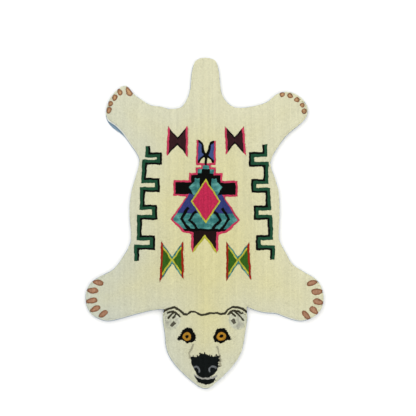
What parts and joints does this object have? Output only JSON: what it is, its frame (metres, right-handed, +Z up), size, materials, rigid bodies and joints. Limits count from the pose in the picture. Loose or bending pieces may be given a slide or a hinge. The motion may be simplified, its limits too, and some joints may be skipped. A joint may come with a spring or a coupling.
{
  "type": "hand-tufted rug",
  "caption": "Hand-tufted wool rug in the shape of a flattened polar-bear skin, with key patterns, hourglasses and a stepped figure tufted into its cream pile.",
  "frame": {"origin": "floor level under the middle of the rug's own box, on the underside of the backing cloth", "axes": "+Z up out of the pile, +Y from the nose to the tail, +X to the right as seen from above with the head near"},
  "size_m": [0.66, 0.9184, 0.0158],
  "materials": {
    "backing_cloth": "matt plain-woven cotton, blue-grey",
    "latex": "matt cured latex",
    "canvas": "plain-woven tufting canvas",
    "binding": "folded cotton tape, overcast, pale blue-grey",
    "cream_wool": "cut wool pile, matt",
    "grey_wool": "cut wool pile, matt",
    "charcoal_wool": "cut wool pile, matt",
    "brown_wool": "cut wool pile, matt",
    "black_wool": "cut wool pile, matt",
    "amber_wool": "cut wool pile, matt",
    "dark_green_wool": "cut wool pile, matt",
    "maroon_wool": "cut wool pile, matt",
    "pink_wool": "cut wool pile, matt",
    "red_wool": "cut wool pile, matt",
    "leaf_green_wool": "cut wool pile, matt",
    "teal_wool": "cut wool pile, matt",
    "yellow_wool": "cut wool pile, matt",
    "purple_wool": "cut wool pile, matt",
    "stitching": "cotton sewing thread"
  },
  "bodies": {
    "root": {"backing_cloth": "backing_cloth", "body_pile": "cream_wool", "ear_left_pile": "grey_wool", "ear_right_pile": "grey_wool", "edge_binding": "binding", "eye_left_iris": "amber_wool", "eye_left_pupil": "black_wool", "eye_left_surround": "black_wool", "eye_right_iris": "amber_wool", "eye_right_pupil": "black_wool", "eye_right_surround": "black_wool", "figure_body": "black_wool", "figure_diamond": "pink_wool", "figure_diamond_border": "yellow_wool", "figure_edge": "pink_wool", "figure_skirt": "teal_wool", "figure_tail": "maroon_wool", "front_left_claw_1": "brown_wool", "front_left_claw_2": "brown_wool", "front_left_claw_3": "brown_wool", "front_left_claw_4": "brown_wool", "front_left_claw_5": "brown_wool", "front_right_claw_1": "brown_wool", "front_right_claw_2": "brown_wool", "front_right_claw_3": "brown_wool", "front_right_claw_4": "brown_wool", "front_right_claw_5": "brown_wool", "head_pile": "cream_wool", "hind_left_claw_1": "brown_wool", "hind_left_claw_2": "brown_wool", "hind_left_claw_3": "brown_wool", "hind_left_claw_4": "brown_wool", "hind_left_claw_5": "brown_wool", "hind_right_claw_1": "brown_wool", "hind_right_claw_2": "brown_wool", "hind_right_claw_3": "brown_wool", "hind_right_claw_4": "brown_wool", "hind_right_claw_5": "brown_wool", "hourglass_dark_left_core": "maroon_wool", "hourglass_dark_left_left_strip": "pink_wool", "hourglass_dark_left_right_strip": "pink_wool", "hourglass_dark_right_core": "maroon_wool", "hourglass_dark_right_left_strip": "pink_wool", "hourglass_dark_right_right_strip": "pink_wool", "hourglass_green_left_core": "leaf_green_wool", "hourglass_green_left_left_strip": "red_wool", "hourglass_green_left_right_strip": "red_wool", "hourglass_green_right_core": "leaf_green_wool", "hourglass_green_right_left_strip": "red_wool", "hourglass_green_right_right_strip": "red_wool", "latex_bond": "latex", "lip": "black_wool", "meander_left_black": "black_wool", "meander_left_green": "dark_green_wool", "meander_right_black": "black_wool", "meander_right_green": "dark_green_wool", "mouth_line": "grey_wool", "neck_line": "charcoal_wool", "nose": "black_wool", "tufting_canvas": "canvas"}
  },
  "joints": []
}
